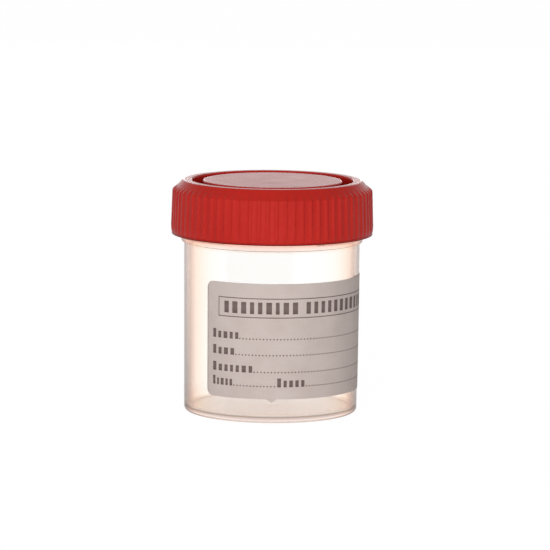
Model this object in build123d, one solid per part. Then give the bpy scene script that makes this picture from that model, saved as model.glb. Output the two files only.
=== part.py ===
from build123d import *

import math
import os

# Screw-capped specimen container, nominal 60 ml: a moulded cup with a threaded neck, a one-piece
# screw cap that seals with a plug ring in the mouth, and a self-adhesive paper label.
# Millimetres. The origin is the centre of the base on the standing surface, +Z is up, and the
# label faces -Y. Heights are measured from the standing surface.

# ---------------------------------------------------------------- cup
cup_height = 56.6            # to the rim of the mouth
shoulder_radius = 21.9       # outside wall under the bead, and the neck
wall_draft = 0.3             # how much narrower the wall is at the bottom
wall = 0.95
floor_thickness = 0.95
foot_recess = 0.5            # how far the floor is raised above the surface
foot_wall = 1.9              # width of the ring that the cup stands on
foot_corner = 1.0            # rounding of the bottom outside corner
floor_corner = 0.8           # flat across the corner inside, between floor and wall
gate_radius = 1.8            # moulding point under the middle of the floor
gate_tip_radius = 0.5
gate_height = 0.3

# ---------------------------------------------------------------- bead under the cap
bead_projection = 0.7
bead_height = 1.7
bead_slope = 0.35            # sloped upper and lower edges

# ---------------------------------------------------------------- neck thread, one right-hand start
thread_pitch = 3.6
thread_turns = 1.3
thread_height = 1.0
thread_root_width = 1.9
thread_crest_width = 0.8
thread_top_gap = 2.2         # rim to the upper flank of the last turn
thread_sink = 0.3            # how deep its root is bedded in the neck

# ---------------------------------------------------------------- cap
cap_height = 13.55
cap_plate = 1.4              # top plate over the rim of the mouth
skirt_wall = 1.47            # between the ribs, at the foot of the slope
skirt_flare = 0.35           # how much wider the skirt is at the bottom edge
slope_width = 2.45           # sloping shoulder
slope_height = 2.6
slope_wall = 1.15
skirt_edge = 0.45            # chamfer on the bottom outside edge
groove_width = 2.7           # hollow of the plug ring, open from above
disc_drop = 0.1              # disc in the middle of the top, below the rim of the cap
disc_thickness = 1.3
plug_wall = 0.7
plug_depth = 3.6             # below the rim of the mouth
plug_lead = 1.2              # height of the tapered tip
plug_taper = 0.6

# ---------------------------------------------------------------- grip ribs
rib_count = 72
rib_height = 0.28
rib_root_width = 1.05
rib_crest_width = 0.5
rib_sink = 0.15              # how deep a rib is bedded in the skirt
rib_foot = 0.8               # bottom edge of the skirt to the foot of a rib
rib_reach = 0.5              # share of the slope that a rib climbs

# ---------------------------------------------------------------- label
label_bottom = 6.1
label_height = 28.6
label_thickness = 0.12
label_corner = 1.8
label_left = 45.6            # degrees from the front towards -X
label_right = 98.0           # degrees from the front towards +X

# ---------------------------------------------------------------- clearances
thread_clearance = 0.35      # thread crest to the bore of the cap
plug_clearance = 0.15        # plug ring to the mouth
bead_clearance = 0.35        # skirt to the bead
glue_layer = 0.02            # adhesive under the label

# ---------------------------------------------------------------- shared places
FRONT = -90.0                # direction of -Y, in degrees from +X
FUSE_TOLERANCE = 0.0001      # how close the thread's faces may come to the neck's when joined
base_radius = shoulder_radius - wall_draft
neck_radius = shoulder_radius
mouth_radius = neck_radius - wall
thread_crest_radius = neck_radius + thread_height
cap_top = cup_height + cap_plate
skirt_bottom = cap_top - cap_height
slope_foot = cap_top - slope_height
cap_bore = thread_crest_radius + thread_clearance
skirt_top_radius = cap_bore + skirt_wall
skirt_bottom_radius = skirt_top_radius + skirt_flare
cap_rim_radius = skirt_top_radius - slope_width
plug_radius = mouth_radius - plug_clearance
groove_radius = plug_radius - plug_wall
disc_radius = groove_radius - groove_width
bead_top = skirt_bottom - bead_clearance
bead_bottom = bead_top - bead_height


def turned(*lines):
    """Solid of revolution about Z of a closed outline of (radius, height) lines."""
    return revolve(Plane.XZ * make_face(lines), Axis.Z)


def quarter_round(start, corner, end):
    """The way round a corner in two flats whose middle point lies on the true rounding."""
    straight = (Vector(start) + Vector(end)) / 2
    middle = straight + (Vector(corner) - straight) * (math.sqrt(2) - 1)
    return [start, (middle.X, middle.Y), end]


def wall_radius(height):
    """Outside radius of the tapered side wall at a height up to the bead."""
    return base_radius + (shoulder_radius - base_radius) * height / bead_bottom


def skirt_radius(height):
    """Outside radius of the flared skirt, between the ribs, at a height up to the slope."""
    share = (height - skirt_bottom) / (slope_foot - skirt_bottom)
    return skirt_bottom_radius + (skirt_top_radius - skirt_bottom_radius) * share


def thread_run_out(end_height, end_angle):
    """Cutter that lets one end of the thread rise gently out of the neck.

    Its flat face passes under the neck's surface, through the middle of the bedded root.
    """
    face_radius = neck_radius - thread_sink / 2
    chord = 2 * math.sqrt(thread_crest_radius**2 - face_radius**2) + thread_root_width
    aligned = (Align.MIN, Align.CENTER, Align.CENTER)
    block = Box(2 * thread_height, chord, 1.3 * thread_root_width, align=aligned)
    return Rot(0, 0, end_angle) * Pos(face_radius, 0, end_height) * block


def neck_thread():
    """One-start helical ridge of trapezoid section, bedded in the neck."""
    lead = thread_pitch * thread_turns
    top = cup_height - thread_top_gap - thread_root_width / 2
    helix = Helix(pitch=thread_pitch, height=lead, radius=neck_radius)
    section = Polyline(
        (-thread_sink, -thread_root_width / 2),
        (0, -thread_root_width / 2),
        (thread_height, -thread_crest_width / 2),
        (thread_height, thread_crest_width / 2),
        (0, thread_root_width / 2),
        (-thread_sink, thread_root_width / 2),
        close=True,
    )
    start = Plane(origin=helix @ 0, x_dir=(1, 0, 0), z_dir=helix % 0)
    ridge = sweep(start * make_face(section), path=helix, is_frenet=True)
    ridge -= thread_run_out(0, 0)
    ridge -= thread_run_out(lead, 360 * thread_turns)
    return Pos(0, 0, top - lead) * ridge


def container_cup():
    """Tapered wall with a foot ring, raised floor, bead and threaded neck, moulded in one."""
    foot_inner = base_radius - foot_wall
    floor_level = foot_recess + floor_thickness
    floor_radius = wall_radius(floor_level) - wall
    bead_radius = shoulder_radius + bead_projection
    foot_top = (wall_radius(foot_corner), foot_corner)
    foot_round = quarter_round((base_radius - foot_corner, 0), (base_radius, 0), foot_top)
    wall_top = (shoulder_radius, bead_bottom)
    mouth = (mouth_radius, cup_height)
    floor_side = (floor_radius, floor_level + floor_corner)
    outside = Bezier(foot_top, wall_top)
    inside = Bezier(mouth, floor_side)
    top = Polyline(
        wall_top,
        (bead_radius, bead_bottom + bead_slope),
        (bead_radius, bead_top - bead_slope),
        (neck_radius, bead_top),
        (neck_radius, cup_height),
        mouth,
    )
    bottom = Polyline(
        floor_side,
        (floor_radius - floor_corner, floor_level),
        (0, floor_level),
        (0, foot_recess - gate_height),
        (gate_tip_radius, foot_recess - gate_height),
        (gate_radius, foot_recess),
        (foot_inner, foot_recess),
        (foot_inner, 0),
        *foot_round,
    )
    return turned(outside, top, inside, bottom).fuse(neck_thread(), tol=FUSE_TOLERANCE)


def ridge(start, end):
    """Straight ridge of the ribs' section between two points of the cap's surface."""
    flare = (rib_root_width - rib_crest_width) / 2 * rib_sink / rib_height
    section = Polyline(
        (-rib_root_width / 2 - flare, rib_sink),
        (-rib_crest_width / 2, -rib_height),
        (rib_crest_width / 2, -rib_height),
        (rib_root_width / 2 + flare, rib_sink),
        close=True,
    )
    along = end - start
    place = Plane(origin=start, x_dir=(0, 1, 0), z_dir=along)
    return extrude(place * make_face(section), along.length)


def grip_rib():
    """One rib: a ridge with a sloped foot on the skirt, mitred to one that sinks into the slope."""
    foot_height = skirt_bottom + rib_foot
    foot = Vector(skirt_radius(foot_height), 0, foot_height)
    bend = Vector(skirt_top_radius, 0, slope_foot)
    slope_normal = Vector(slope_height, 0, slope_width).normalized()
    climb = Vector(-slope_width, 0, slope_height) * rib_reach
    top = bend + climb - slope_normal * rib_height
    up = (bend - foot).normalized()
    over = (top - bend).normalized()
    mitre = Plane(origin=bend, z_dir=up + over)
    foot_slope = Plane(origin=foot, z_dir=up - Vector(1, 0, 0))
    on_skirt = split(ridge(foot - up * rib_sink, bend + up * rib_height), bisect_by=foot_slope)
    on_skirt = split(on_skirt, bisect_by=mitre, keep=Keep.BOTTOM)
    on_slope = split(ridge(bend - over * rib_height, top), bisect_by=mitre)
    return on_skirt + on_slope


def cap_blank():
    """The cap's outside, solid to the axis: flared skirt, sloping shoulder, rim and disc."""
    skirt_start = (skirt_radius(skirt_bottom + skirt_edge), skirt_bottom + skirt_edge)
    skirt_end = (skirt_top_radius, slope_foot)
    slope_end = (cap_rim_radius, cap_top)
    return turned(
        Bezier(skirt_start, skirt_end),
        Bezier(skirt_end, slope_end),
        Polyline(
            slope_end,
            (groove_radius, cap_top),
            (groove_radius, cap_top - disc_drop),
            (0, cap_top - disc_drop),
            (0, skirt_bottom),
            (skirt_bottom_radius - skirt_edge, skirt_bottom),
            skirt_start,
        ),
    )


def cap_hollow():
    """What is cut out from below: the bore, the seat for the rim, and round the plug ring."""
    plug_tip = cup_height - plug_depth
    plug_inside = disc_radius - plug_wall
    disc_underside = cap_top - disc_drop - disc_thickness
    steepness = slope_height / slope_width
    slope_drop = slope_wall * math.hypot(1, steepness)
    seat_radius = cap_rim_radius + (cap_plate - slope_drop) / steepness
    bore_top = cap_top - slope_drop - steepness * (cap_bore - cap_rim_radius)
    outline = Polyline(
        (0, skirt_bottom),
        (cap_bore, skirt_bottom),
        (cap_bore, bore_top),
        (seat_radius, cup_height),
        (plug_radius, cup_height),
        (plug_radius, plug_tip + plug_lead),
        (plug_radius - plug_taper, plug_tip),
        (plug_inside, plug_tip),
        (plug_inside, disc_underside),
        (0, disc_underside),
        close=True,
    )
    return turned(outline)


def cap_groove():
    """What is cut out from above: the hollow of the plug ring, round the disc."""
    bottom = cup_height - plug_depth + plug_wall
    outline = Polyline(
        (disc_radius, cap_top - disc_drop),
        (disc_radius, bottom),
        (groove_radius, bottom),
        (groove_radius, cap_top - disc_drop),
        close=True,
    )
    return turned(outline)


def screw_cap():
    """One-piece cap: ribbed skirt over the neck, seat on the rim, plug ring in the mouth."""
    rib_pitch = 360 / rib_count
    places = PolarLocations(0, rib_count, start_angle=FRONT + rib_pitch / 2)
    rib = grip_rib()
    ribs = [place * rib for place in places]
    return cap_blank() + ribs - cap_hollow() - cap_groove()


def label_section(line):
    """Section of the sheet on the tapered wall, its long sides drawn by the given kind of line."""
    top = label_bottom + label_height
    bottom_inside = wall_radius(label_bottom) + glue_layer
    top_inside = wall_radius(top) + glue_layer
    bottom_edge = Line((bottom_inside, label_bottom), (bottom_inside + label_thickness, label_bottom))
    top_edge = Line((top_inside + label_thickness, top), (top_inside, top))
    face = line(bottom_edge @ 1, top_edge @ 0)
    back = line(top_edge @ 1, bottom_edge @ 0)
    return Plane.XZ * make_face([bottom_edge, face, top_edge, back])


def paper_label():
    """Thin sheet stuck round the wall: a plain middle and two ends with rounded corners."""
    end_turn = math.degrees(2 * label_corner / base_radius)
    middle_turn = label_left + label_right - 2 * end_turn
    middle = Rot(0, 0, end_turn) * revolve(label_section(Bezier), Axis.Z, middle_turn)
    end = revolve(label_section(Line), Axis.Z, end_turn)
    corners = end.edges().filter_by(lambda edge: edge.length < 2 * label_thickness)
    end = fillet(corners.sort_by(Axis.Y)[:2], label_corner)
    other_end = Rot(0, 0, label_left + label_right) * mirror(end, about=Plane.XZ)
    return Rot(0, 0, FRONT - label_left) * (middle + end + other_end)


os.makedirs("parts", exist_ok=True)
export_step(container_cup(), "parts/container_cup.step")
export_step(screw_cap(), "parts/screw_cap.step")
export_step(paper_label(), "parts/paper_label.step")
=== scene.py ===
"""Dresses the specimen container: surfaces, finishes, stage, lights and camera.

Sizes of the container are millimetres and turn into metres as a mesh is made. Those of the grain
and relief of its finishes and of the studio are metres. The origin is the centre of the base on
the standing surface, +Z is up and the label faces -Y. Angles are degrees.
"""

import logging
import math
from dataclasses import dataclass, field
from enum import Enum

import bpy
import numpy as np
from mathutils import Matrix, Vector

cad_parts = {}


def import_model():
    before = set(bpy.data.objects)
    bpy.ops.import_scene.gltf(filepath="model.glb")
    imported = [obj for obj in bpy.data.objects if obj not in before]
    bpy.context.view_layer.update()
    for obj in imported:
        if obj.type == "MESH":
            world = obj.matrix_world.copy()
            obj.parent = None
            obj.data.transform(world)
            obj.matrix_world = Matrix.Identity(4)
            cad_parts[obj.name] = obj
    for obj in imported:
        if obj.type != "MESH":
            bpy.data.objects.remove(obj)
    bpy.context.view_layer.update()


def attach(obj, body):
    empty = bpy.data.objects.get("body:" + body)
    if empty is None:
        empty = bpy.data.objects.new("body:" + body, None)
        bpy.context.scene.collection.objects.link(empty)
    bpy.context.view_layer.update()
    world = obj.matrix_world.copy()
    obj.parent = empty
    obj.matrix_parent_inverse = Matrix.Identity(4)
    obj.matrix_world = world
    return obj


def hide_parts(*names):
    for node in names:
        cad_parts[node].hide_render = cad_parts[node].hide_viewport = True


Array = np.ndarray
Colour = tuple[float, float, float]
Tints = tuple[tuple[float, Colour], ...]
Pair = tuple[float, float]
Triple = tuple[float, float, float]
Piece = bpy.types.Object
Material = bpy.types.Material
Tree = bpy.types.NodeTree
Node = bpy.types.Node
Socket = bpy.types.NodeSocket
MM = 0.001
FRONT = -90.0
WHITE = (1.0, 1.0, 1.0)

log = logging.getLogger("container")


class Body(Enum):
    """Moving bodies of the frame that a piece can ride on."""

    CUP = "cup"
    CAP = "cap"


class Slot(Enum):
    """Material slots of the record."""

    CUP = "cup_plastic"
    CAP = "cap_plastic"
    LABEL = "label_paper"


# ------------------------------------------------------------------ curves and surfaces


def smooth_step(value: Array) -> Array:
    """Returns 3t^2 - 2t^3 of the value held between 0 and 1, which is level at both ends."""
    t = np.clip(value, 0.0, 1.0)
    return t * t * (3.0 - 2.0 * t)


def rounded(corners: Array, segments: int = 6, margin: float = 0.06) -> Array:
    """Rounds the corners of an open outline.

    At a corner between unit legs a and b with half angle h, the arc of radius f touches the legs
    f / tan(h) from the corner, and its centre lies f / sin(h) along a + b. Points on the arc are
    the spherical blend of its two end radii. One more point on each leg, a margin further out,
    keeps the shading of the flat sides level.

    Args:
        corners: Rows of radius, height and rounding; the first and last rows are the ends.
        segments: Steps along each arc.
        margin: Distance from the end of an arc to its extra point.

    Returns:
        Rows of radius and height.
    """
    points, fillet = corners[:, :2], corners[1:-1, 2:3]
    leg_a, leg_b = points[:-2] - points[1:-1], points[2:] - points[1:-1]
    leg_a = leg_a / np.linalg.norm(leg_a, axis=1, keepdims=True)
    leg_b = leg_b / np.linalg.norm(leg_b, axis=1, keepdims=True)
    half = np.arccos(np.clip((leg_a * leg_b).sum(1, keepdims=True), -1.0, 1.0)) / 2.0
    reach = fillet / np.tan(half)
    middle = leg_a + leg_b
    middle = middle / np.linalg.norm(middle, axis=1, keepdims=True)
    centre = points[1:-1] + middle * fillet / np.sin(half)
    start, end = points[1:-1] + leg_a * reach, points[1:-1] + leg_b * reach
    turn = (np.pi - 2.0 * half)[:, None, :]
    t = np.linspace(0.0, 1.0, segments + 1)[None, :, None]
    blend_a, blend_b = np.sin((1.0 - t) * turn), np.sin(t * turn)
    spokes = blend_a * (start - centre)[:, None] + blend_b * (end - centre)[:, None]
    arcs = centre[:, None] + spokes / np.sin(turn)
    before = (start + leg_a * margin)[:, None]
    after = (end + leg_b * margin)[:, None]
    body = np.concatenate([before, arcs, after], axis=1).reshape(-1, 2)
    return np.concatenate([points[:1], body, points[-1:]])


def outline_normals(outline: Array) -> Array:
    """Returns the unit normals of an outline: its direction by central differences, turned right.

    Args:
        outline: Rows of radius and height.

    Returns:
        One normal for each row.
    """
    along = np.gradient(outline, axis=0)
    along = along / np.linalg.norm(along, axis=1, keepdims=True)
    return np.stack([along[:, 1], -along[:, 0]], axis=1)


def around(radius: Array, angle: Array, height: Array) -> Array:
    """Returns points at r cos(a), r sin(a), z for matching arrays of radius, angle and height."""
    turn = np.radians(angle)
    return np.stack([radius * np.cos(turn), radius * np.sin(turn), height + 0.0 * turn], axis=-1)


def grid_quads(index: Array) -> Array:
    """Returns one quad for each cell of a grid of vertex numbers."""
    return np.stack(
        [index[:-1, :-1], index[:-1, 1:], index[1:, 1:], index[1:, :-1]], axis=-1
    ).reshape(-1, 4)


def wrapped(index: Array) -> Array:
    """Returns a grid of vertex numbers whose last column meets its first."""
    return np.concatenate([index, index[:, :1]], axis=1)


def fan(hub: int, ring: Array) -> Array:
    """Returns the triangles from one vertex to each side of a closed ring of vertices."""
    return np.stack([np.full(len(ring), hub), ring, np.roll(ring, -1)], axis=1)


def signed_volume(points: Array, faces: list[Array]) -> float:
    """Adds up p0 . (p1 x p2) / 6 over each face's fan of triangles.

    Args:
        points: Vertex places.
        faces: Arrays of faces with one number of corners each.

    Returns:
        The enclosed volume, negative where the faces point inwards.
    """
    total = 0.0
    for group in faces:
        for k in range(1, group.shape[1] - 1):
            a, b, c = points[group[:, 0]], points[group[:, k]], points[group[:, k + 1]]
            total += float((a * np.cross(b, c)).sum()) / 6.0
    return total


def make_piece(
    name: str,
    points: Array,
    faces: list[Array],
    material: Material,
    flat: tuple[int, ...] = (),
) -> Piece:
    """Makes a closed mesh from arrays, with its faces pointing outwards.

    Args:
        name: Name of the object and its mesh.
        points: Vertex places in millimetres.
        faces: Arrays of faces with one number of corners each.
        material: Finish of the whole piece.
        flat: Numbers of the face arrays that are shaded flat.

    Returns:
        The object, linked to the scene, with its place in its mesh.
    """
    if signed_volume(points, faces) < 0.0:
        faces = [group[:, ::-1] for group in faces]
    sizes = np.concatenate([np.full(len(group), group.shape[1]) for group in faces])
    smooth = np.concatenate(
        [np.full(len(group), k not in flat) for k, group in enumerate(faces)]
    )
    corners = np.concatenate([group.ravel() for group in faces]).astype(np.int32)
    starts = np.concatenate([[0], np.cumsum(sizes)[:-1]]).astype(np.int32)
    mesh = bpy.data.meshes.new(name)
    mesh.vertices.add(len(points))
    mesh.loops.add(len(corners))
    mesh.polygons.add(len(sizes))
    mesh.vertices.foreach_set("co", (points * MM).astype(np.float32).ravel())
    mesh.loops.foreach_set("vertex_index", corners)
    mesh.polygons.foreach_set("loop_start", starts)
    mesh.update(calc_edges=True)
    mesh.validate()
    mesh.polygons.foreach_set("use_smooth", smooth)
    mesh.materials.append(material)
    piece = bpy.data.objects.new(name, mesh)
    bpy.context.scene.collection.objects.link(piece)
    return piece


def side_quads(rings: Array, shift: int) -> Array:
    """Returns the quads between closed rings of vertices and their copies a number further on."""
    following = np.roll(rings, -1, axis=-1)
    return np.stack([following, rings, rings + shift, following + shift], axis=-1).reshape(-1, 4)


def capped_tube(name: str, sections: Array, hubs: Array, material: Material) -> Piece:
    """Makes a closed piece from a row of closed sections, with a fan over each end.

    Args:
        name: Name of the piece.
        sections: Grid of points, one row for each section along the path.
        hubs: Middle point of the first and of the last fan.
        material: Finish of the piece.

    Returns:
        The object.
    """
    rows, columns = sections.shape[:2]
    index = np.arange(rows * columns).reshape(rows, columns)
    first, last = rows * columns, rows * columns + 1
    fans = np.concatenate([fan(first, index[0, ::-1]), fan(last, index[-1])])
    points = np.concatenate([sections.reshape(-1, 3), hubs])
    return make_piece(name, points, [grid_quads(wrapped(index)), fans], material)


def turned_shell(
    name: str, radius: Array, height: Array, angle: Array, material: Material
) -> Piece:
    """Makes a closed shell around Z from a grid, with a single vertex at each of its two poles.

    Point (i, j) is r cos(a), r sin(a), z with r and z of row i and column j and a of column j.

    Args:
        name: Name of the piece.
        radius: Grid of radii; the first and last rows lie on the axis.
        height: Grid of heights.
        angle: Angle of each column, once round.
        material: Finish of the piece.

    Returns:
        The object.
    """
    rings = around(radius[1:-1], angle[None, :], height[1:-1])
    poles = np.array([[0.0, 0.0, height[0, 0]], [0.0, 0.0, height[-1, 0]]])
    return capped_tube(name, rings, poles, material)


def slab(name: str, outer: Array, inner: Array, material: Material) -> Piece:
    """Makes a closed thin sheet from two grids of the same shape, joined along their borders.

    Args:
        name: Name of the piece.
        outer: Grid of points of the outside face.
        inner: Grid of points of the inside face.
        material: Finish of the piece.

    Returns:
        The object.
    """
    rows, columns = outer.shape[:2]
    front = np.arange(rows * columns).reshape(rows, columns)
    ring = np.concatenate([front[0, :-1], front[:-1, -1], front[-1, :0:-1], front[:0:-1, 0]])
    back = grid_quads(front + rows * columns)[:, ::-1]
    faces = [grid_quads(front), back, side_quads(ring, rows * columns)]
    points = np.concatenate([outer.reshape(-1, 3), inner.reshape(-1, 3)])
    return make_piece(name, points, faces, material, flat=(2,))


def dress(piece: Piece, body: Body, slot: Slot, *nodes: str) -> None:
    """Ties a piece to its body, hides the solids that it stands for, and logs it.

    Args:
        piece: Finished object.
        body: Body that it moves with.
        slot: Material slot of the record; not used.
        *nodes: Solids that it replaces.
    """
    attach(piece, body.value)
    if nodes:
        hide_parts(*nodes)
    log.info("%s: %d faces, rides on %s", piece.name, len(piece.data.polygons), body.value)


# ------------------------------------------------------------------ node trees


@dataclass
class Nodes:
    """A node tree being filled, with short ways to add and join its nodes."""

    tree: Tree

    def add(self, kind: str, inputs: dict | None = None, **settings: object) -> Node:
        """Adds a node.

        Args:
            kind: Type name of the node.
            inputs: Input names or numbers, with a plain value or a socket to link for each.
            **settings: Properties of the node.

        Returns:
            The new node.
        """
        node = self.tree.nodes.new(kind)
        for name, value in settings.items():
            setattr(node, name, value)
        for name, value in (inputs or {}).items():
            if isinstance(value, Socket):
                self.tree.links.new(value, node.inputs[name])
            else:
                node.inputs[name].default_value = value
        return node

    def maths(self, operation: str, *values: object) -> Socket:
        """Adds a Math node.

        Args:
            operation: Its operation.
            *values: Numbers or sockets, in order.

        Returns:
            Its result.
        """
        inputs = dict(enumerate(values))
        return self.add("ShaderNodeMath", inputs, operation=operation).outputs[0]

    def mix_colour(
        self, share: object, first: object, second: object, blend: str = "MIX"
    ) -> Socket:
        """Adds a colour mix.

        Args:
            share: Share of the second colour.
            first: Colour or socket at share 0.
            second: Colour or socket at share 1.
            blend: How the two are blended.

        Returns:
            The mixed colour.
        """
        inputs = {0: share, 6: first, 7: second}
        return self.add("ShaderNodeMix", inputs, data_type="RGBA", blend_type=blend).outputs[2]

    def mix_shader(self, share: Socket, first: Node, second: Node) -> Node:
        """Returns a mix of two shaders by the share of the second."""
        inputs = {0: share, 1: first.outputs[0], 2: second.outputs[0]}
        return self.add("ShaderNodeMixShader", inputs)

    def noise(self, vector: Socket, scale: object, detail: float) -> Socket:
        """Returns a noise texture's value over the given places."""
        inputs = {"Vector": vector, "Scale": scale, "Detail": detail}
        return self.add("ShaderNodeTexNoise", inputs).outputs["Fac"]

    def blend(self, first: Socket, share: object, second: Socket, rest: object) -> Socket:
        """Returns the sum of two values, each times its own share."""
        parts = (self.maths("MULTIPLY", first, share), self.maths("MULTIPLY", second, rest))
        return self.maths("ADD", *parts)

    def bump(self, height: Socket, strength: float, distance: float) -> Socket:
        """Returns the normal over a height, with the strength and the height's reach in metres."""
        inputs = {"Strength": strength, "Distance": distance, "Height": height}
        return self.add("ShaderNodeBump", inputs).outputs[0]

    def colour_steps(self, value: Socket, steps: Tints) -> Socket:
        """Adds a colour ramp.

        Args:
            value: Socket that runs along the ramp.
            steps: Places from 0 to 1 with the colour at each.

        Returns:
            The colour.
        """
        node = self.add("ShaderNodeValToRGB", {0: value})
        stops = node.color_ramp.elements
        while len(stops) < len(steps):
            stops.new(0.5)
        for stop, (place, colour) in zip(stops, steps):
            stop.position = place
            stop.color = opaque(colour)
        return node.outputs["Color"]

    def ramp(self, value: Socket, low: float, high: float, start: float, end: float) -> Socket:
        """Maps low..high of a value to start..end, held at both ends.

        Args:
            value: Socket to map.
            low: Value that gives start.
            high: Value that gives end.
            start: Result at low.
            end: Result at high.

        Returns:
            The mapped value.
        """
        inputs = {0: value, 1: low, 2: high, 3: start, 4: end}
        return self.add("ShaderNodeMapRange", inputs, clamp=True).outputs[0]


def opaque(colour: Colour) -> tuple[float, float, float, float]:
    """Returns the colour with full alpha."""
    return (*colour, 1.0)


def new_group(name: str, inputs: dict[str, float], outputs: tuple[str, ...]) -> tuple[Nodes, dict]:
    """Starts a shader node group with named number sockets.

    Args:
        name: Name of the group.
        inputs: Input names with their usual values.
        outputs: Output names.

    Returns:
        Its tree to fill and its input sockets by name.
    """
    tree = bpy.data.node_groups.new(name, "ShaderNodeTree")
    for label, value in inputs.items():
        entry = tree.interface.new_socket(label, in_out="INPUT", socket_type="NodeSocketFloat")
        entry.default_value = value
    for label in outputs:
        tree.interface.new_socket(label, in_out="OUTPUT", socket_type="NodeSocketFloat")
    nodes = Nodes(tree)
    entries = nodes.add("NodeGroupInput")
    return nodes, {label: entries.outputs[label] for label in inputs}


def close_group(nodes: Nodes, results: dict[str, Socket]) -> Tree:
    """Joins the results to the group's outputs and returns its tree."""
    nodes.add("NodeGroupOutput", results)
    return nodes.tree


def moulded_skin_group() -> Tree:
    """Builds the surface of a moulding: fine tool grain, flow waves, dust and handling marks.

    Height is grain noise plus a slow wave of larger noise. Mottle is the slow noise alone. Marks
    are the thin ridges of stretched noise, kept where they pass a threshold.

    Returns:
        The node group, with outputs Height, Mottle and Marks.
    """
    usual = {"Grain size": 0.0004, "Grain": 0.3, "Flow size": 0.012, "Flow": 0.7}
    streak_scale, streak_turn, streak_stretch = 160.0, (0.4, 0.7, 0.2), (1.0, 9.0, 1.0)
    threshold, middle = (0.64, 0.74), (0.3, 0.7)
    nodes, given = new_group("moulded_skin", usual, ("Height", "Mottle", "Marks"))
    place = nodes.add("ShaderNodeTexCoord").outputs["Object"]
    grain = nodes.noise(place, nodes.maths("DIVIDE", 1.0, given["Grain size"]), detail=2.0)
    flow = nodes.noise(place, nodes.maths("DIVIDE", 1.0, given["Flow size"]), detail=3.0)
    mapping = {"Vector": place, "Rotation": streak_turn, "Scale": streak_stretch}
    stretched = nodes.add("ShaderNodeMapping", mapping).outputs[0]
    streaks = nodes.noise(stretched, streak_scale, detail=4.0)
    marks = nodes.ramp(streaks, *threshold, 0.0, 1.0)
    height = nodes.blend(grain, given["Grain"], flow, given["Flow"])
    mottle = nodes.ramp(flow, *middle, 0.0, 1.0)
    return close_group(nodes, {"Height": height, "Mottle": mottle, "Marks": marks})


def paper_fibre_group() -> Tree:
    """Builds the surface of paper: short fibres in two directions over a soft cloudiness.

    Height is the larger of two noises stretched across each other. Tone is a slow noise with a
    little of the fibres in it.

    Returns:
        The node group, with outputs Height and Tone.
    """
    usual = {"Fibre size": 0.0006, "Cloud size": 0.006}
    level_fibres, upright_fibres = (0.35, 0.35, 1.6), (1.5, 1.5, 0.4)
    cloud_share, middle = 0.7, (0.35, 0.65)
    nodes, given = new_group("paper_fibre", usual, ("Height", "Tone"))
    place = nodes.add("ShaderNodeTexCoord").outputs["Object"]
    fine = nodes.maths("DIVIDE", 1.0, given["Fibre size"])
    stretched = (
        nodes.add("ShaderNodeMapping", {"Vector": place, "Scale": stretch}).outputs[0]
        for stretch in (level_fibres, upright_fibres)
    )
    fibre = nodes.maths("MAXIMUM", *(nodes.noise(way, fine, detail=3.0) for way in stretched))
    cloud = nodes.noise(place, nodes.maths("DIVIDE", 1.0, given["Cloud size"]), detail=4.0)
    tone = nodes.ramp(nodes.blend(cloud, cloud_share, fibre, 1.0 - cloud_share), *middle, 0.0, 1.0)
    return close_group(nodes, {"Height": fibre, "Tone": tone})


@dataclass
class Surfaces:
    """The node groups that several finishes share."""

    skin: Tree = field(default_factory=moulded_skin_group)
    fibre: Tree = field(default_factory=paper_fibre_group)


def new_material(name: str) -> tuple[Material, Nodes, Node]:
    """Starts an empty node material.

    Args:
        name: Name of the material.

    Returns:
        The material, its tree to fill and its output node.
    """
    material = bpy.data.materials.new(name)
    material.use_nodes = True
    material.node_tree.nodes.clear()
    nodes = Nodes(material.node_tree)
    return material, nodes, nodes.add("ShaderNodeOutputMaterial")


@dataclass(frozen=True)
class Skin:
    """How strongly a moulding shows the grain, the flow waves and the marks of its surface.

    Sizes and the reach of the relief are in metres, and the spread is in shares of the roughness.
    """

    grain_size: float = 0.0004
    grain: float = 0.12
    flow_size: float = 0.012
    flow: float = 0.5
    relief: float = 0.1
    reach: float = 0.0004
    spread: Pair = (0.95, 1.05)
    dulling: float = 0.02

    def lay(self, nodes: Nodes, group: Tree, roughness: float) -> tuple[Socket, Socket, Socket]:
        """Adds the surface to a material.

        The roughness runs between its two shares along the mottle and rises on the marks.

        Args:
            nodes: The material's tree.
            group: The moulded skin's node group.
            roughness: Middle roughness of the finish.

        Returns:
            The mottle, the roughness and the normal.
        """
        inputs = {
            "Grain size": self.grain_size,
            "Grain": self.grain,
            "Flow size": self.flow_size,
            "Flow": self.flow,
        }
        skin = nodes.add("ShaderNodeGroup", inputs, node_tree=group).outputs
        low, high = (roughness * share for share in self.spread)
        base = nodes.ramp(skin["Mottle"], 0.0, 1.0, low, high)
        rough = nodes.maths("MULTIPLY_ADD", skin["Marks"], self.dulling, base)
        return skin["Mottle"], rough, nodes.bump(skin["Height"], self.relief, self.reach)


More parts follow.
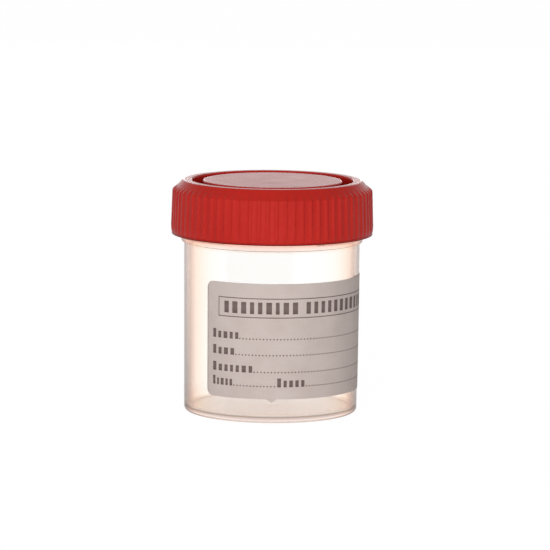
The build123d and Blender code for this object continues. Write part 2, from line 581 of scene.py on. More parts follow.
@dataclass(frozen=True)
class ClearPlastic:
    """Natural, faintly warm polymer that lets light through.

    The facing tints run from the middle of the cup, where the wall is seen square, to its sides.
    The height tints, by millimetres over the base, are painted light: painted shade
    in a dark line at the edge of the floor and in a warm band above it, and a painted
    red glow from the cap over the bead. The painted side shade darkens the sides
    towards the base. Both lie on the outside only and only where the eye meets it.
    A path that stays trapped in the wall ends in a painted glow, in place of the light
    that would come out of it.
    """

    name: str = "cup_plastic"
    skin: Skin = Skin()
    facing_tints: Tints = (
        (0.2, (1.0, 1.0, 0.99)),
        (0.36, (1.0, 0.96, 0.9)),
        (0.46, (1.0, 0.9, 0.78)),
        (0.54, (1.0, 0.84, 0.72)),
        (0.64, (1.0, 0.7, 0.57)),
        (0.78, (0.42, 0.31, 0.27)),
    )
    # Painted light by height: a painted dark line of shade at the floor's edge, a warm band of
    # painted shade above it, and a painted red glow from the cap over the bead
    painted_light_tints: Tints = (
        (0.0, (1.0, 1.0, 1.0)),
        (1.15, (1.0, 1.0, 1.0)),
        (1.4, (0.38, 0.33, 0.29)),
        (1.8, (0.38, 0.33, 0.29)),
        (2.3, (0.95, 0.8, 0.71)),
        (5.0, (1.0, 0.88, 0.8)),
        (8.0, (1.0, 1.0, 1.0)),
        (41.7, (1.0, 1.0, 1.0)),
        (42.6, (1.0, 0.82, 0.72)),
        (43.2, (1.0, 0.64, 0.52)),
        (44.0, (1.0, 0.45, 0.35)),
        (44.4, (1.0, 1.0, 1.0)),
    )
    # Painted shade: the sides of the wall grey down towards the base
    painted_side_shade: Tints = (
        (0.0, (0.6, 0.6, 0.6)),
        (1.5, (0.4, 0.4, 0.4)),
        (5.0, (0.38, 0.4, 0.42)),
        (17.0, (0.58, 0.6, 0.6)),
        (37.0, (1.0, 1.0, 1.0)),
    )
    painted_shade_facing: Pair = (0.5, 0.72)
    tint_reach: float = 60.0
    outside_radius: float = 21.2
    roughness: float = 0.07
    refraction: float = 1.49
    depth_tint: Colour = (0.75, 0.5, 0.42)
    depth_density: float = 12.0
    # Painted glow: the colour the wall gives out, with no lamp, where a path stays trapped in it
    painted_wall_glow: Colour = (0.86, 0.76, 0.71)
    trapped_after: float = 2.5

    def build(self, shared: Surfaces) -> Material:
        """Makes the material.

        Args:
            shared: Node groups of the scene.

        Returns:
            The material.
        """
        material, nodes, output = new_material(self.name)
        _, rough, normal = self.skin.lay(nodes, shared.skin, self.roughness)
        path = nodes.add("ShaderNodeLightPath").outputs
        shader = nodes.add(
            "ShaderNodeBsdfPrincipled",
            {
                "Base Color": self.tint(nodes, path["Is Camera Ray"]),
                "Roughness": rough,
                "IOR": self.refraction,
                "Transmission Weight": 1.0,
                "Normal": normal,
            },
        )
        depth = nodes.add(
            "ShaderNodeVolumeAbsorption",
            {"Color": opaque(self.depth_tint), "Density": self.depth_density},
        )
        # Painted light: a path that has bounced in the wall past this depth glows with the painted
        # colour
        trapped = nodes.maths("GREATER_THAN", path["Glossy Depth"], self.trapped_after)
        painted_glow = nodes.add("ShaderNodeEmission", {"Color": opaque(self.painted_wall_glow)})
        whole = nodes.mix_shader(trapped, shader, painted_glow)
        nodes.tree.links.new(whole.outputs[0], output.inputs["Surface"])
        nodes.tree.links.new(depth.outputs[0], output.inputs["Volume"])
        return material

    def tint(self, nodes: Nodes, seen: Socket) -> Socket:
        """Works out the tint of the wall.

        It is the facing tint, times the painted light by height on the outside, times the
        painted side shade as far as the outside turns from the eye.

        Args:
            nodes: The material's tree.
            seen: 1 where the eye meets the surface directly.

        Returns:
            The colour.
        """
        facing = nodes.add("ShaderNodeLayerWeight", {"Blend": 0.5}).outputs["Facing"]
        side = nodes.colour_steps(facing, self.facing_tints)
        place = nodes.add("ShaderNodeTexCoord").outputs["Object"]
        parts = nodes.add("ShaderNodeSeparateXYZ", {0: place}).outputs
        up = nodes.maths("DIVIDE", parts["Z"], self.tint_reach * MM)
        # level holds the painted light by height and edge the painted side shade, laid on the
        # outside where the eye meets it
        level, edge = (
            nodes.colour_steps(up, tuple((at / self.tint_reach, tint) for at, tint in tints))
            for tints in (self.painted_light_tints, self.painted_side_shade)
        )
        square = nodes.maths("MULTIPLY", parts["X"], parts["X"])
        square = nodes.maths("MULTIPLY_ADD", parts["Y"], parts["Y"], square)
        outside = nodes.maths("GREATER_THAN", square, (self.outside_radius * MM) ** 2)
        painted_where = nodes.maths("MULTIPLY", outside, seen)
        colour = nodes.mix_colour(painted_where, side, level, "MULTIPLY")
        # Painted side shade, laid on as far as the outside turns from the eye
        turned = nodes.maths("MULTIPLY", painted_where, nodes.ramp(facing, *self.painted_shade_facing, 0.0, 1.0))
        return nodes.mix_colour(turned, colour, edge, "MULTIPLY")


@dataclass(frozen=True)
class SolidPlastic:
    """Opaque coloured moulding with a satin surface."""

    name: str = "cap_plastic"
    skin: Skin = Skin(
        grain_size=0.0006,
        grain=0.08,
        flow_size=0.009,
        flow=0.7,
        relief=0.03,
        reach=0.0003,
        spread=(0.9, 1.15),
        dulling=0.1,
    )
    colour: Colour = (0.515, 0.019, 0.013)
    deep_colour: Colour = (0.47, 0.016, 0.011)
    roughness: float = 0.25
    reflection: float = 0.18
    refraction: float = 1.5

    def build(self, shared: Surfaces) -> Material:
        """Makes the material.

        Args:
            shared: Node groups of the scene.

        Returns:
            The material.
        """
        material, nodes, output = new_material(self.name)
        mottle, rough, normal = self.skin.lay(nodes, shared.skin, self.roughness)
        shader = nodes.add(
            "ShaderNodeBsdfPrincipled",
            {
                "Base Color": nodes.mix_colour(
                    mottle, opaque(self.colour), opaque(self.deep_colour)
                ),
                "Roughness": rough,
                "IOR": self.refraction,
                "Specular IOR Level": self.reflection,
                "Normal": normal,
            },
        )
        nodes.tree.links.new(shader.outputs[0], output.inputs["Surface"])
        return material


@dataclass(frozen=True)
class Paper:
    """Uncoated sheet, or the ink printed on it, with the sheet's fibres showing."""

    name: str = "label_paper"
    # The sheet's grey-beige is white paper darkened with painted shade; the ink's colours are its
    # own
    colour: Colour = (0.6, 0.515, 0.48)
    shade: Colour = (0.55, 0.465, 0.43)
    roughness: float = 0.75
    relief: float = 0.3
    reach: float = 0.0001
    spread: float = 0.1
    fibre_span: Pair = (0.3, 0.7)
    reflection: float = 0.3

    def build(self, shared: Surfaces) -> Material:
        """Makes the material.

        Args:
            shared: Node groups of the scene.

        Returns:
            The material.
        """
        material, nodes, output = new_material(self.name)
        fibre = nodes.add("ShaderNodeGroup", node_tree=shared.fibre).outputs
        low, high = self.roughness - self.spread, self.roughness + self.spread
        shader = nodes.add(
            "ShaderNodeBsdfPrincipled",
            {
                "Base Color": nodes.mix_colour(
                    fibre["Tone"], opaque(self.shade), opaque(self.colour)
                ),
                "Roughness": nodes.ramp(fibre["Height"], *self.fibre_span, high, low),
                "Specular IOR Level": self.reflection,
                "Normal": nodes.bump(fibre["Height"], self.relief, self.reach),
            },
        )
        nodes.tree.links.new(shader.outputs[0], output.inputs["Surface"])
        return material


# ------------------------------------------------------------------ the container


@dataclass
class Thread:
    """One right-hand start of a screw thread, the same form on the neck and in the cap."""

    start_height: float
    start_angle: float = 0.0
    pitch: float = 3.6
    turns: float = 1.3
    depth: float = 1.0
    root_width: float = 1.9
    crest_width: float = 0.8
    run_out: float = 22.0

    def ends(self, turn: Array) -> Array:
        """Returns how far the ridge has risen, 0 to 1, at an angle from its start."""
        left = 360.0 * self.turns - turn
        return smooth_step(turn / self.run_out) * smooth_step(left / self.run_out)

    def relief(self, angle: Array, height: Array) -> Array:
        """Height of the ridge over a neck.

        The ridge's centre climbs by the pitch once round. Across it, the height falls from the
        edge of the crest to the edge of the root along a smooth step, and both ends fade out.

        Args:
            angle: Angles of the grid.
            height: Heights of the grid.

        Returns:
            Height over the neck at each point.
        """
        total = np.zeros(np.broadcast(angle, height).shape)
        for lap in range(math.ceil(self.turns) + 1):
            turn = (angle - self.start_angle) % 360.0 + 360.0 * lap
            centre = self.start_height + self.pitch * turn / 360.0
            flank = (self.root_width / 2 - np.abs(height - centre)) * 2
            ridge = smooth_step(flank / (self.root_width - self.crest_width))
            total = np.maximum(total, ridge * self.ends(np.clip(turn, 0, 360.0 * self.turns)))
        return total * self.depth

    def bar(self, root_radius: float, sink: float, steps: int = 200, columns: int = 11) -> Array:
        """Sections of the thread as a bar inside a bore.

        Each section is a closed loop: the root lies sunk in the wall of the bore, and the crest
        stands towards the axis by the depth times the run-out share. It climbs by the pitch.

        Args:
            root_radius: Radius of the bore.
            sink: How far the root lies in its wall.
            steps: Steps along the bar.
            columns: Points across its crest and flanks.

        Returns:
            Grid of points, one row for each section.
        """
        turn = np.linspace(0.0, 360.0 * self.turns, steps + 1)[:, None]
        t = np.linspace(-1.0, 1.0, columns)[None, :]
        across = t * self.root_width / 2
        slope = (self.root_width / 2 - np.abs(across)) * 2 / (self.root_width - self.crest_width)
        rise = smooth_step(slope) * self.depth * self.ends(turn)
        crest = root_radius - rise
        crest[:, [0, -1]] = root_radius
        root = np.full((steps + 1, 2), root_radius + sink)
        radius = np.concatenate([crest, root], axis=1)
        height = np.concatenate([across, across[:, [-1, 0]]], axis=1)
        height = self.start_height + self.pitch * turn / 360.0 + height
        return around(radius, self.start_angle + turn, height)


@dataclass
class Cup:
    """The cup: foot ring, raised floor, wall, bead, neck and thread.

    The gate is the moulding point under the floor. Edges are radii of roundings, in the order in
    which the outline comes to them.
    """

    finish: ClearPlastic = field(default_factory=ClearPlastic)
    height: float = 56.6
    base_radius: float = 21.6
    neck_radius: float = 21.9
    wall: float = 0.95
    bead_bottom: float = 42.4
    bead_top: float = 44.1
    bead_radius: float = 22.6
    bead_slope: float = 0.35
    bead_foot: float = 0.28
    bead_edges: tuple[float, float, float, float] = (0.1, 0.12, 0.25, 0.2)
    foot_inner: float = 19.7
    foot_recess: float = 0.5
    foot_edge: float = 0.2
    base_corner: float = 1.0
    floor_level: float = 1.45
    floor_corner: float = 0.8
    gate_height: float = 0.3
    gate_radii: Pair = (0.5, 1.8)
    gate_edges: Pair = (0.1, 0.3)
    neck_ends: Pair = (46.6, 55.6)
    neck_rows: Triple = (46.7, 55.55, 0.11)
    lip_edge: float = 0.3
    thread: Thread = field(default_factory=lambda: Thread(start_height=48.77))
    columns: int = 288

    def wall_radius(self, height: Array | float) -> Array | float:
        """Returns the outside radius of the tapered wall at a height up to the bead."""
        return self.base_radius + (self.neck_radius - self.base_radius) * height / self.bead_bottom

    def outline(self) -> tuple[Array, slice]:
        """Outline of the cup from the axis under the floor, round the outside, to the axis inside.

        Returns:
            Rows of radius and height, and the rows of the neck that carry the thread.
        """
        floor_radius = self.wall_radius(self.floor_level) - self.wall
        recess, level, top = self.foot_recess, self.floor_level, self.height
        gate, gate_foot, neck_radius = self.gate_radii, recess - self.gate_height, self.neck_radius
        bead_low, bead_high = self.bead_bottom + self.bead_slope, self.bead_top - self.bead_slope
        below = [
            (0.0, gate_foot, 0.0),
            (gate[0], gate_foot, self.gate_edges[0]),
            (gate[1], recess, self.gate_edges[1]),
            (self.foot_inner, recess, self.foot_edge),
            (self.foot_inner, 0.0, self.foot_edge),
            (self.base_radius, 0.0, self.base_corner),
            (neck_radius, self.bead_bottom + self.bead_foot, self.bead_edges[0]),
            (self.bead_radius, bead_low, self.bead_edges[1]),
            (self.bead_radius, bead_high, self.bead_edges[2]),
            (neck_radius, self.bead_top, self.bead_edges[3]),
            (neck_radius, self.neck_ends[0], 0.0),
        ]
        above = [
            (neck_radius, self.neck_ends[1], 0.0),
            (neck_radius, top, self.lip_edge),
            (neck_radius - self.wall, top, self.lip_edge),
            (floor_radius, level, self.floor_corner),
            (0.0, level, 0.0),
        ]
        lower = rounded(np.array(below))
        neck_height = np.arange(*self.neck_rows)
        neck = np.stack([np.full_like(neck_height, neck_radius), neck_height], axis=1)
        upper = rounded(np.array(above))
        rows = slice(len(lower), len(lower) + len(neck))
        return np.concatenate([lower, neck, upper]), rows

    def build(self, shared: Surfaces) -> None:
        """Makes the cup as one shell and dresses it.

        The radius is the outline's, plus the relief of the thread on the rows of the neck.

        Args:
            shared: Node groups of the scene.
        """
        outline, neck = self.outline()
        angle = np.arange(self.columns) * 360.0 / self.columns
        radius = np.repeat(outline[:, :1], self.columns, axis=1)
        height = np.repeat(outline[:, 1:], self.columns, axis=1)
        radius[neck] += self.thread.relief(angle[None, :], height[neck])
        piece = turned_shell("cup", radius, height, angle, self.finish.build(shared))
        dress(piece, Body.CUP, Slot.CUP, "container_cup")


@dataclass
class Cap:
    """The screw cap: disc, plug ring, rim, sloping shoulder, ribbed skirt and its own thread.

    Edges are radii of roundings, in the order in which the outline comes to them. The rows of the
    slope and of the skirt are shares of its length.
    """

    finish: SolidPlastic = field(default_factory=SolidPlastic)
    top: float = 58.0
    bottom: float = 44.45
    slope_foot: float = 55.4
    disc_radius: float = 17.4
    disc_drop: float = 0.1
    disc_edge: float = 0.4
    groove_radius: float = 20.1
    groove_bottom: float = 53.7
    groove_edge: float = 0.35
    rim_radius: float = 22.27
    rim_edges: Pair = (0.45, 0.7)
    slope_start: Pair = (0.5, 0.53)
    slope_rows: tuple[float, float, int] = (0.72, 0.1, 9)
    shoulder_edge: float = 0.5
    shoulder_margin: float = 0.06
    skirt_top_radius: float = 24.72
    skirt_bottom_radius: float = 25.07
    skirt_share: float = 0.99
    skirt_rows: tuple[float, ...] = (
        0.0, 0.25, 0.5, 0.75, 0.86, 0.885, 0.9, 0.91, 0.92, 0.93, 0.94
    )
    foot_start: float = 0.6
    foot_edges: Pair = (0.35, 0.3)
    bore: float = 23.25
    bore_top: float = 55.38
    bore_edge: float = 0.4
    seat_height: float = 56.6
    seat_radius: float = 22.1
    seat_edges: Pair = (0.3, 0.25)
    plug_radius: float = 20.8
    plug_inside: float = 16.7
    plug_tip: float = 53.0
    plug_taper: float = 0.6
    plug_lead: float = 1.2
    plug_edges: tuple[float, float, float, float] = (0.5, 0.3, 0.3, 0.4)
    rib_count: int = 72
    rib_height: float = 0.23
    rib_root: float = 1.05
    rib_crest: float = 0.5
    rib_foot: float = 45.25
    rib_foot_rise: float = 0.35
    rib_reach: float = 0.5
    rib_columns: tuple[float, ...] = (-0.57, -0.46, -0.35, -0.23, 0.0, 0.23, 0.35, 0.46, 0.57)
    thread: Thread = field(default_factory=lambda: Thread(start_height=47.2, start_angle=10.0))
    thread_sink: float = 0.2

    def outline(self) -> tuple[Array, slice]:
        """Outline of the cap from the axis on top, over the outside, to the axis underneath.

        Returns:
            Rows of radius and height, and the rows that carry the ribs.
        """
        disc, groove = self.top - self.disc_drop, self.groove_bottom
        seat, tip = self.seat_height, self.plug_tip
        over = [
            (0.0, disc, 0.0),
            (self.disc_radius, disc, self.disc_edge),
            (self.disc_radius, groove, self.groove_edge),
            (self.groove_radius, groove, self.groove_edge),
            (self.groove_radius, self.top, self.rim_edges[0]),
            (self.rim_radius, self.top, self.rim_edges[1]),
            (self.rim_radius + self.slope_start[0], self.top - self.slope_start[1], 0.0),
        ]
        under = [
            (self.skirt_bottom_radius, self.bottom + self.foot_start, 0.0),
            (self.skirt_bottom_radius, self.bottom, self.foot_edges[0]),
            (self.bore, self.bottom, self.foot_edges[1]),
            (self.bore, self.bore_top, self.bore_edge),
            (self.seat_radius, seat, self.seat_edges[0]),
            (self.plug_radius, seat, self.seat_edges[1]),
            (self.plug_radius, tip + self.plug_lead, self.plug_edges[0]),
            (self.plug_radius - self.plug_taper, tip, self.plug_edges[1]),
            (self.plug_inside, tip, self.plug_edges[2]),
            (self.plug_inside, seat, self.plug_edges[3]),
            (0.0, seat, 0.0),
        ]
        climb, down = np.linspace(*self.slope_rows), np.array(self.skirt_rows)
        span = np.array([self.rim_radius - self.skirt_top_radius, self.top - self.slope_foot])
        shoulder = np.array([self.skirt_top_radius, self.slope_foot])
        slope = shoulder + climb[:, None] * span
        skirt = np.array([self.skirt_bottom_radius, self.bottom]) - shoulder
        side = shoulder + (self.shoulder_margin + down[:, None]) * skirt * self.skirt_share
        turn = [[*slope[-1], 0.0], [*shoulder, self.shoulder_edge], [*side[0], 0.0]]
        bend = rounded(np.array(turn), segments=5)
        upper, lower = rounded(np.array(over)), rounded(np.array(under), segments=4)
        ribbed = np.concatenate([slope[:-1], bend, side[1:]])
        rows = slice(len(upper), len(upper) + len(ribbed))
        return np.concatenate([upper, ribbed, lower]), rows

    def columns(self) -> Array:
        """Works out the angles of the grid.

        They are the middles of the ribs, each with the same offsets along the skirt to both sides.

        Returns:
            Angle of each column.
        """
        offsets = np.array(self.rib_columns)
        pitch = 360.0 / self.rib_count
        middles = FRONT + pitch / 2 + pitch * np.arange(self.rib_count)
        spread = np.degrees(offsets / self.skirt_top_radius)
        return (middles[:, None] + spread[None, :]).ravel()

    def relief(self, angle: Array, height: Array) -> Array:
        """Height of the ribs over the skirt and the slope.

        Across a rib the height falls by a smooth step from crest to root. Along it, it rises by
        a smooth step from its foot, and fades in a straight line up its share of the slope.

        Args:
            angle: Angle of each column.
            height: Height of each row.

        Returns:
            Height over the plain surface at each row and column.
        """
        pitch = 360.0 / self.rib_count
        turn = (angle - FRONT) % pitch - pitch / 2
        offset = np.abs(np.radians(turn)) * self.skirt_top_radius
        across = smooth_step((self.rib_root / 2 - offset) * 2 / (self.rib_root - self.rib_crest))
        foot = smooth_step((height - self.rib_foot) / self.rib_foot_rise)
        climb = (height - self.slope_foot) / (self.top - self.slope_foot)
        along = foot * np.clip(1.0 - climb / self.rib_reach, 0.0, 1.0)
        return self.rib_height * along[:, None] * across[None, :]

    def build(self, shared: Surfaces) -> None:
        """Makes the cap as one shell, its inside thread as a bar, and dresses both.

        On the ribbed rows a point moves along the outline's normal by the relief of the ribs.

        Args:
            shared: Node groups of the scene.
        """
        outline, ribbed = self.outline()
        angle = self.columns()
        radius = np.repeat(outline[:, :1], len(angle), axis=1)
        height = np.repeat(outline[:, 1:], len(angle), axis=1)
        normal = outline_normals(outline)[ribbed]
        normal = normal * np.sign(normal[:, :1])
        relief = self.relief(angle, outline[ribbed, 1])
        radius[ribbed] += normal[:, :1] * relief
        height[ribbed] += normal[:, 1:] * relief
        material = self.finish.build(shared)
        piece = turned_shell("cap", radius, height, angle, material)
        dress(piece, Body.CAP, Slot.CAP, "screw_cap")
        bar = self.thread.bar(self.bore, self.thread_sink)
        piece = capped_tube("cap_thread", bar, bar[[0, -1]].mean(axis=1), material)
        dress(piece, Body.CAP, Slot.CAP)


@dataclass(frozen=True)
class Word:
    """A printed word: a row of plain blocks, the first one taller than the others.

    The gap is a share of what each block takes up of the word's length.
    """

    start: float
    end: float
    foot: float
    count: int
    low: float = 1.65
    tall: float = 2.2
    gap: float = 0.46
    spread: Pair = (0.8, 1.25)

    def blocks(self, chance: np.random.Generator) -> Array:
        """Lays out the blocks.

        Their widths are drawn at random, then scaled so that they and the even gaps between them
        fill the word.

        Args:
            chance: Source of the widths.

        Returns:
            Rows of left, right, bottom and top of each block.
        """
        width = chance.uniform(*self.spread, self.count)
        gap = self.gap * (self.end - self.start) / self.count
        width = width / width.sum() * (self.end - self.start - gap * (self.count - 1))
        left = self.start + np.concatenate([[0.0], np.cumsum(width + gap)[:-1]])
        top = np.full(self.count, self.foot + self.low)
        top[0] = self.foot + self.tall
        return np.stack([left, left + width, np.full(self.count, self.foot), top], axis=1)


@dataclass(frozen=True)
class Entry:
    """A place to write on: a word, and from a distance behind its start a dotted line.

    Left and right are its ends in degrees from the label's left edge.
    """

    left: float
    length: float
    blocks: int
    foot: float
    dots_from: float
    right: float = 136.0


@dataclass
class Label:
    """The stuck-on label: a sheet with rounded corners and its printed form of plain marks.

    The places of the print along the sheet are in degrees from its left edge.
    """

    paper: Paper = field(default_factory=Paper)
    ink: Paper = field(
        default_factory=lambda: Paper(
            "label_ink", (0.19, 0.14, 0.13), (0.15, 0.11, 0.1), roughness=0.6, relief=0.2
        )
    )
    cup: Cup = field(default_factory=Cup)
    bottom: float = 6.1
    height: float = 28.6
    left: float = 45.6
    right: float = 98.0
    corner: float = 1.8
    corner_steps: int = 8
    steps: tuple[int, int] = (4, 120)
    glue: float = 0.02
    thickness: float = 0.12
    ink_rise: float = 0.012
    ink_sink: float = 0.01
    nib_place: float = 0.25
    nib_width: float = 2.6
    nib_drop: float = 0.75
    nib_tip: float = 0.08
    nib_steps: tuple[int, int] = (4, 6)
    frame_sides: Pair = (9.5, 134.1)
    frame_levels: Pair = (26.2, 31.1)
    frame_line: float = 0.22
    frame_parts: int = 16
    heading: Triple = (14.0, 66.0, 129.6)
    heading_gap: float = 1.1
    heading_foot: float = 27.2
    heading_height: float = 2.9
    heading_blocks: tuple[int, int] = (9, 11)
    entries: tuple[Entry, ...] = (
        Entry(5.2, 7.2, 5, 20.8, 7.6),
        Entry(5.2, 6.1, 4, 16.8, 6.6),
        Entry(5.2, 10.8, 7, 12.6, 11.3),
        Entry(5.2, 5.6, 5, 9.1, 6.1, 49.0),
        Entry(50.0, 6.9, 5, 9.1, 7.4),
    )
    dot_step: float = 0.85
    dot_height: float = 0.16
    dot_radius: float = 0.2
    seed: int = 7

    @property
    def radius(self) -> float:
        """Radius of the back of the sheet at the middle of its height."""
        return self.cup.wall_radius(self.bottom + self.height / 2) + self.glue

    @property
    def width(self) -> float:
        """Length of the sheet round the wall."""
        return math.radians(self.left + self.right) * self.radius

    @property
    def degree(self) -> float:
        """Length along the sheet of one degree."""
        return self.width / (self.left + self.right)

    def on_sheet(self, across: Array, up: Array, rise: float) -> Array:
        """Wraps flat places round the tapered wall.

        A place at s along the sheet from its left edge lies at the angle s / r from that edge, r
        being the sheet's radius at the middle of its height.

        Args:
            across: Distances from the left edge.
            up: Heights over the standing surface.
            rise: Distance outside the back of the sheet.

        Returns:
            Points on the wrapped surface.
        """
        angle = FRONT - self.left + np.degrees(across / self.radius)
        return around(self.cup.wall_radius(up) + self.glue + rise, angle, up)

    def stick(self, name: str, across: Array, up: Array, paper: Material, *nodes: str) -> None:
        """Makes a thin sheet of flat places, wrapped round the wall, and dresses it.

        Args:
            name: Name of the piece.
            across: Distances from the label's left edge.
            up: Heights over the standing surface.
            paper: Finish of the piece.
            *nodes: Solids that it replaces.
        """
        outer, inner = (self.on_sheet(across, up, rise) for rise in (self.thickness, 0.0))
        dress(slab(name, outer, inner, paper), Body.CUP, Slot.LABEL, *nodes)

    def sheet(self, paper: Material) -> None:
        """Makes the sheet.

        A row at height v is shortened at each end by c - sqrt(c^2 - d^2), d being how far the row
        lies within a corner's reach c of the top or bottom edge.

        Args:
            paper: Finish of the sheet.
        """
        corner = self.corner * (1.0 - np.cos(np.linspace(0.0, np.pi / 2, self.corner_steps + 1)))
        flat = np.linspace(self.corner, self.height - self.corner, self.steps[0] + 1)[1:-1]
        rows = np.concatenate([corner, flat, (self.height - corner)[::-1]])
        inside = np.clip(self.corner - np.minimum(rows, self.height - rows), 0.0, self.corner)
        inset = self.corner - np.sqrt(self.corner**2 - inside**2)
        share = np.linspace(0.0, 1.0, self.steps[1] + 1)
        across = inset[:, None] + share[None, :] * (self.width - 2 * inset[:, None])
        up = self.bottom + np.repeat(rows[:, None], len(share), axis=1)
        self.stick("label", across, up, paper, "paper_label")

    def nib(self, paper: Material) -> None:
        """Makes the small pointed nib under the sheet's lower edge, at the front of the cup.

        Its half width falls in a straight line from the edge of the sheet to the tip.

        Args:
            paper: Finish of the nib.
        """
        t = np.linspace(0.0, 1.0, self.nib_steps[0] + 1)[:, None]
        share = np.linspace(-1.0, 1.0, self.nib_steps[1] + 1)[None, :]
        centre = self.width * self.left / (self.left + self.right) + self.nib_place
        taper = self.nib_tip + (1.0 - self.nib_tip) * t
        across = centre + share * (self.nib_width / 2) * taper
        up = np.repeat(self.bottom - self.nib_drop * (1.0 - t), share.size, axis=1)
        self.stick("label_nib", across, up, paper)

    def frame(self) -> Array:
        """Lays out the heading's frame, with its long sides cut into short blocks.

        Returns:
            Rows of left, right, bottom and top of each block, on the flat sheet.
        """
        left, right = (side * self.degree for side in self.frame_sides)
        (low, high), line = self.frame_levels, self.frame_line
        cuts = np.linspace(left, right, self.frame_parts + 1)
        blocks = []
        for foot in (low, high - line):
            ends = np.broadcast_to([foot, foot + line], (self.frame_parts, 2))
            blocks.append(np.column_stack([cuts[:-1], cuts[1:], ends]))
        for side in (left, right - line):
            blocks.append(np.array([[side, side + line, low + line, high - line]]))
        return np.concatenate(blocks)

    def words(self) -> list[Word]:
        """Lists the words: two in the heading and one for each entry.

        Returns:
            The words in the order of their drawing.
        """
        first, middle, last = (place * self.degree for place in self.heading)
        ends = ((first, middle - self.heading_gap), (middle + self.heading_gap, last))
        heading = [
            Word(*span, self.heading_foot, count, self.heading_height, self.heading_height)
            for span, count in zip(ends, self.heading_blocks)
        ]
        starts = [entry.left * self.degree for entry in self.entries]
        return heading + [
            Word(start, start + entry.length, entry.foot, entry.blocks)
            for start, entry in zip(starts, self.entries)
        ]

    def dots(self) -> Array:
        """Lays out the dotted lines to write on.

        Returns:
            Rows of centre across and height of each dot.
        """
        runs = []
        for entry in self.entries:
            start, end = entry.left * self.degree + entry.dots_from, entry.right * self.degree
            run = np.arange(start, end, self.dot_step)
            runs.append(np.stack([run, np.full(len(run), entry.foot + self.dot_height)], axis=1))
        return np.concatenate(runs)

    def plates(
        self,
        name: str,
        places: tuple[Array, Array],
        front: Array,
        ring: Array,
        flat: tuple[int, ...],
        ink: Material,
    ) -> None:
        """Makes thin curved plates of ink as one piece and dresses it.

        The same flat places are wrapped at the surface of the ink and just inside the paper, and
        each plate's border joins the two.

        Args:
            name: Name of the piece.
            places: Distances from the left edge, and heights.
            front: Faces of the ink's surface.
            ring: Border of each plate.
            flat: Numbers of the face arrays that are shaded flat: surface, back and border.
            ink: Finish of the piece.
        """
        rises = (self.thickness + self.ink_rise, self.thickness - self.ink_sink)
        upper, lower = (self.on_sheet(*places, rise).reshape(-1, 3) for rise in rises)
        faces = [front, front[:, ::-1] + len(upper), side_quads(ring, len(upper))]
        piece = make_piece(name, np.concatenate([upper, lower]), faces, ink, flat)
        dress(piece, Body.CUP, Slot.LABEL)

    def block_plates(self, ink: Material, steps: int = 24) -> None:
        """Makes the blocks, each a grid of steps along its width by its bottom and top.

        Args:
            ink: Finish of the print.
            steps: Steps along a block.
        """
        chance = np.random.default_rng(self.seed)
        blocks = np.concatenate([self.frame(), *(word.blocks(chance) for word in self.words())])
        t = np.linspace(0.0, 1.0, steps + 1)
        left, right = blocks[:, None, None, 0], blocks[:, None, None, 1]
        across = np.repeat(left + t[None, :, None] * (right - left), 2, axis=2)
        up = np.repeat(blocks[:, None, 2:4], steps + 1, axis=1)
        index = np.arange(up.size).reshape(up.shape)
        low, high = index[:, :, 0], index[:, :, 1]
        front = np.stack([low[:, :-1], low[:, 1:], high[:, 1:], high[:, :-1]], axis=-1)
        ring = np.concatenate([low, high[:, ::-1]], axis=1)
        self.plates("label_blocks", (across, up), front.reshape(-1, 4), ring, (2,), ink)

    def dot_plates(self, ink: Material, sides: int = 8) -> None:
        """Makes the dots, each a ring of places at r cos(a) and r sin(a) from its centre.

        Args:
            ink: Finish of the print.
            sides: Sides of a dot.
        """
        places = self.dots()
        turn = np.linspace(0.0, 2 * np.pi, sides + 1)[:-1]
        across = places[:, :1] + self.dot_radius * np.cos(turn)[None, :]
        up = places[:, 1:] + self.dot_radius * np.sin(turn)[None, :]
        index = np.arange(up.size).reshape(up.shape)
        self.plates("label_dots", (across, up), index, index, (0, 1, 2), ink)

    def build(self, shared: Surfaces) -> None:
        """Makes the sheet and its print.

        Args:
            shared: Node groups of the scene.
        """
        paper = self.paper.build(shared)
        self.sheet(paper)
        self.nib(paper)
        ink = self.ink.build(shared)
        self.block_plates(ink)
        self.dot_plates(ink)


# ------------------------------------------------------------------ stage, lights and camera


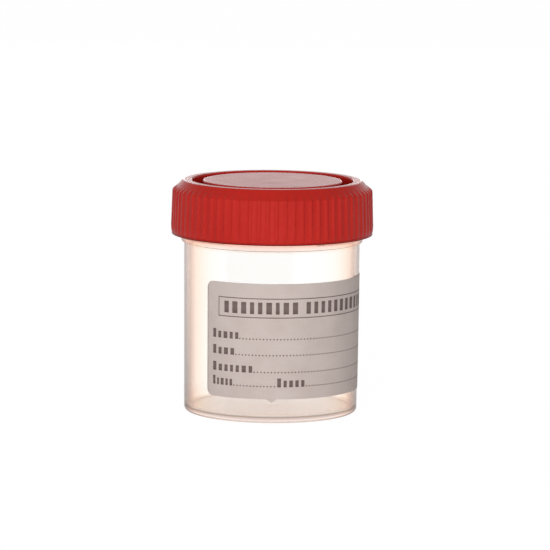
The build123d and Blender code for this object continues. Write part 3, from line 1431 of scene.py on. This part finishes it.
@dataclass
class Studio:
    """White sweep, soft front light, bright back and the camera."""

    floor_size: float = 8.0
    floor_gap: float = 0.00002
    floor_glow: float = 1.05
    floor_glow_through: float = 1.12
    floor_mirrored: float = 0.25
    floor_matt: Colour = (0.85, 0.85, 0.85)
    floor_glow_share: float = 0.92
    ambient: float = 0.4
    backlight: float = 1.08
    mirrored_light: float = 1.1
    mirrored_tints: Tints = (
        (0.0, (0.7, 0.7, 0.7)),
        (0.25, (0.26, 0.24, 0.23)),
        (0.75, (0.3, 0.26, 0.24)),
        (0.93, (0.62, 0.6, 0.6)),
        (0.985, (1.0, 1.0, 1.0)),
    )
    lamp_aim: Triple = (0.0, 0.0, 0.03)
    key_power: float = 11.0
    key_place: Triple = (-0.12, -1.2, 0.3)
    key_size: Pair = (1.3, 0.56)
    rim_place: Triple = (0.1, 1.1, 0.15)
    rim_size: Pair = (0.1, 0.14)
    rim_power: float = 0.22
    aim: Triple = (0.00085, 0.0, 0.034)
    distance: float = 1.05
    elevation: float = 7.75
    roll: float = 0.6
    field_width: float = 0.1375
    sensor: float = 36.0
    clips: Pair = (0.05, 50.0)

    def floor(self) -> None:
        """Makes the floor: white from above, with a faint shadow kept, and clear from below."""
        half = self.floor_size / 2
        square = np.array([[-half, -half], [half, -half], [half, half], [-half, half]])
        corners = np.column_stack([square, np.full(4, -self.floor_gap)])
        mesh = bpy.data.meshes.new("floor")
        mesh.from_pydata(corners.tolist(), [], [(0, 1, 2, 3)])
        floor = bpy.data.objects.new("floor", mesh)
        bpy.context.scene.collection.objects.link(floor)
        material, nodes, output = new_material("floor_white")
        matt = nodes.add("ShaderNodeBsdfDiffuse", {"Color": opaque(self.floor_matt)})
        path = nodes.add("ShaderNodeLightPath").outputs
        through = path["Is Transmission Ray"]
        strength = nodes.ramp(through, 0.0, 1.0, self.floor_glow, self.floor_glow_through)
        glow = nodes.add("ShaderNodeEmission", {"Color": opaque(WHITE), "Strength": strength})
        seen = nodes.maths("MAXIMUM", path["Is Camera Ray"], through)
        dimmer = nodes.maths("MULTIPLY", path["Is Glossy Ray"], self.floor_mirrored)
        share = nodes.maths("MULTIPLY", nodes.maths("MAXIMUM", seen, dimmer), self.floor_glow_share)
        lit = nodes.mix_shader(share, matt, glow)
        below = nodes.add("ShaderNodeNewGeometry").outputs["Backfacing"]
        whole = nodes.mix_shader(below, lit, nodes.add("ShaderNodeBsdfTransparent"))
        nodes.tree.links.new(whole.outputs[0], output.inputs["Surface"])
        mesh.materials.append(material)

    def world(self) -> None:
        """Makes the surroundings: white to the camera, bright behind and darker in front."""
        world = bpy.data.worlds.new("studio")
        world.use_nodes = True
        world.node_tree.nodes.clear()
        nodes = Nodes(world.node_tree)
        way = nodes.add("ShaderNodeTexCoord").outputs["Generated"]
        behind = nodes.add("ShaderNodeSeparateXYZ", {0: way}).outputs["Y"]
        colour = nodes.colour_steps(
            nodes.maths("MULTIPLY_ADD", behind, 0.5, 0.5), self.mirrored_tints
        )
        path = nodes.add("ShaderNodeLightPath").outputs
        clear = nodes.maths("MAXIMUM", path["Is Camera Ray"], path["Is Transmission Ray"])
        diffuse, mirrored, seen = (
            nodes.add("ShaderNodeBackground", {"Color": shade, "Strength": strength})
            for shade, strength in (
                (opaque(WHITE), self.ambient),
                (colour, self.mirrored_light),
                (opaque(WHITE), self.backlight),
            )
        )
        inner = nodes.mix_shader(path["Is Glossy Ray"], diffuse, mirrored)
        outer = nodes.mix_shader(clear, inner, seen)
        nodes.add("ShaderNodeOutputWorld", {"Surface": outer.outputs[0]})
        bpy.context.scene.world = world

    def lamp(
        self,
        name: str,
        place: Triple,
        size: Pair,
        power: float,
        mirrored: bool,
    ) -> None:
        """Adds an oblong area lamp turned towards the object.

        Args:
            name: Name of the lamp.
            place: Where it stands, in metres.
            size: Its width and height, in metres.
            power: Its power in watts.
            mirrored: Whether glossy surfaces show it.
        """
        data = bpy.data.lights.new(name, "AREA")
        data.shape = "RECTANGLE"
        data.size, data.size_y = size
        data.energy = power
        lamp = bpy.data.objects.new(name, data)
        lamp.location = place
        way = Vector(self.lamp_aim) - Vector(place)
        lamp.rotation_euler = way.to_track_quat("-Z", "Y").to_euler()
        lamp.visible_camera = False
        lamp.visible_transmission = False
        lamp.visible_glossy = mirrored
        bpy.context.scene.collection.objects.link(lamp)

    def camera(self) -> None:
        """Sets the camera: a long lens on the aim from the front, a little above and rolled."""
        data = bpy.data.cameras.new("camera")
        data.sensor_width = self.sensor
        data.lens = data.sensor_width * self.distance / self.field_width
        data.clip_start, data.clip_end = self.clips
        camera = bpy.data.objects.new("camera", data)
        tilt = math.radians(self.elevation)
        offset = Vector((0.0, -math.cos(tilt), math.sin(tilt))) * self.distance
        looking = (-offset).to_track_quat("-Z", "Y").to_matrix().to_4x4()
        rolled = Matrix.Rotation(math.radians(self.roll), 4, "Z")
        camera.matrix_world = Matrix.Translation(Vector(self.aim) + offset) @ looking @ rolled
        bpy.context.scene.collection.objects.link(camera)
        bpy.context.scene.camera = camera

    def build(self) -> None:
        """Makes the floor, the surroundings, the lamps and the camera."""
        self.floor()
        self.world()
        self.lamp("key_lamp", self.key_place, self.key_size, self.key_power, False)
        for side, name in ((-1, "rim_lamp_left"), (1, "rim_lamp_right")):
            place = (side * self.rim_place[0], *self.rim_place[1:])
            self.lamp(name, place, self.rim_size, self.rim_power, True)
        self.camera()
        bpy.context.scene.view_settings.view_transform = "Standard"
        log.info("stage, lamps and camera set")


def main() -> None:
    """Loads the frame and dresses it piece by piece."""
    logging.basicConfig(level=logging.INFO, format="%(name)s: %(message)s")
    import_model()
    shared = Surfaces()
    cup = Cup()
    cup.build(shared)
    Cap().build(shared)
    Label(cup=cup).build(shared)
    Studio().build()


if __name__ == "__main__":
    main()
